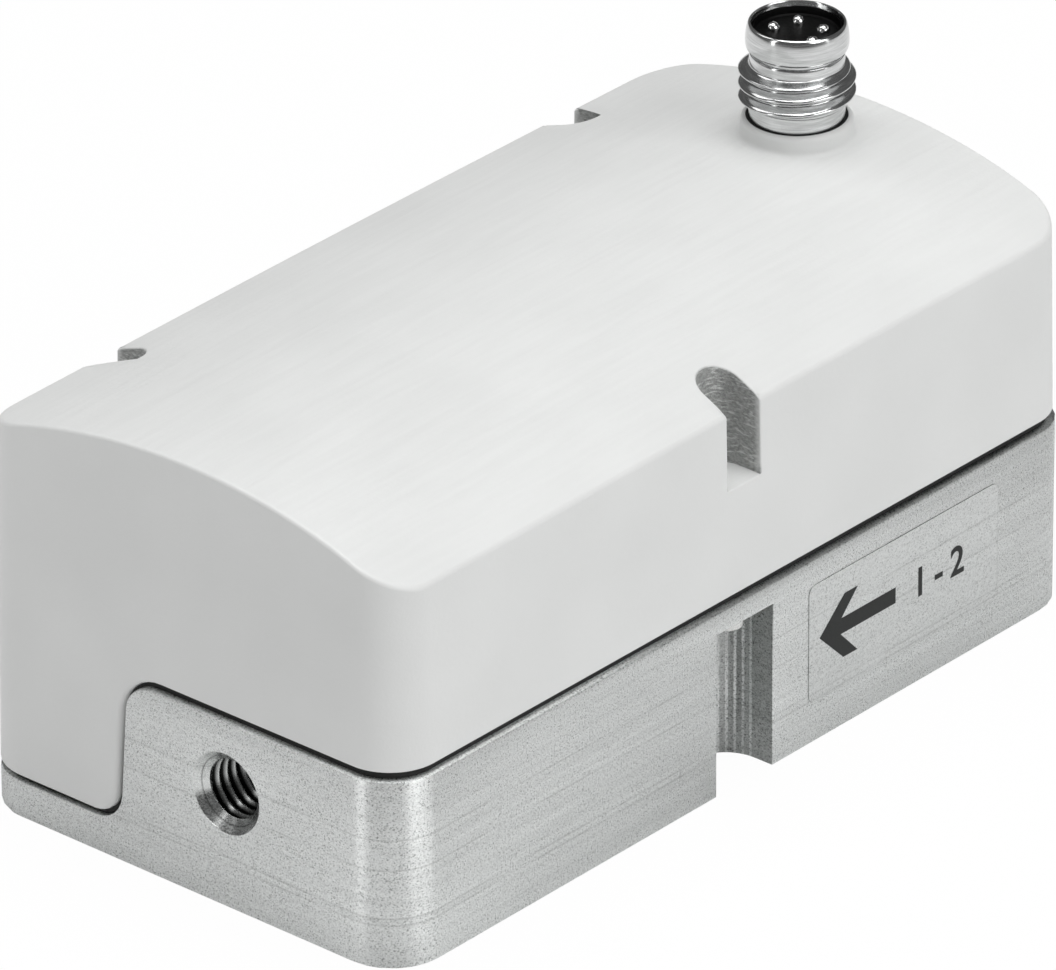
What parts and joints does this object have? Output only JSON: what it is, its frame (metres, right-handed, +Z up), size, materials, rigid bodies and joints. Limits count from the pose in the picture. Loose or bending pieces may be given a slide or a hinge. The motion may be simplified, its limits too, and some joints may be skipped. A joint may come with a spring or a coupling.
{
  "type": "mass flow controller",
  "caption": "Small inline gas mass flow controller: stepped aluminium base with a threaded port in each end, arched moulded cover and a round threaded plug connector on top.",
  "frame": {"origin": "middle of the body's plan on the underside of the base", "axes": "+Z up, +Y along the body from the outlet to the inlet end (the connector stands near +Y), +X towards the side with the raised block, the side notch and the flow arrow"},
  "size_m": [0.037, 0.0694, 0.0399],
  "materials": {
    "machined_aluminium": "fine machined, matt, faint speckle",
    "cover_plastic": "satin, very slight orange peel",
    "black_rubber": "matt",
    "nickel_plate": "bright nickel plate",
    "black_plastic": "satin",
    "pin_plate": "polished plate",
    "steel": "bright turned",
    "circuit_board": "solder mask",
    "sensor_plastic": "moulded, matt",
    "sintered_metal": "sintered, porous",
    "copper_winding": "enamelled wire",
    "polyimide": "film"
  },
  "bodies": {
    "root": {"base_block": "machined_aluminium", "cover": "cover_plastic", "cover_seal": "black_rubber", "cover_screw_1": "steel", "cover_screw_2": "steel", "cover_screw_3": "steel", "inlet_filter": "sintered_metal", "flow_element": "steel", "sensor_body": "sensor_plastic", "sensor_board": "circuit_board", "sensor_chip": "black_plastic", "sensor_screw_1": "steel", "sensor_screw_2": "steel", "sensor_seal_1": "black_rubber", "sensor_seal_2": "black_rubber", "sensor_flex": "polyimide", "valve_cartridge": "steel", "valve_coil": "copper_winding", "valve_yoke": "steel", "valve_nut": "steel", "valve_screw_1": "steel", "valve_screw_2": "steel", "valve_seal_inner": "black_rubber", "valve_seal_outer": "black_rubber", "connector_shell": "nickel_plate", "connector_insert": "black_plastic", "connector_seal": "black_rubber", "connector_board": "circuit_board", "connector_flex": "polyimide", "contact_pin_1": "pin_plate", "contact_pin_2": "pin_plate", "contact_pin_3": "pin_plate", "contact_pin_4": "pin_plate", "main_board": "circuit_board", "controller_chip": "black_plastic", "capacitor_1": "steel", "capacitor_2": "steel", "board_header_1": "sensor_plastic", "board_header_2": "sensor_plastic", "board_spacer_1": "steel", "board_spacer_2": "steel", "board_screw_1": "steel", "board_screw_2": "steel"}
  },
  "joints": []
}
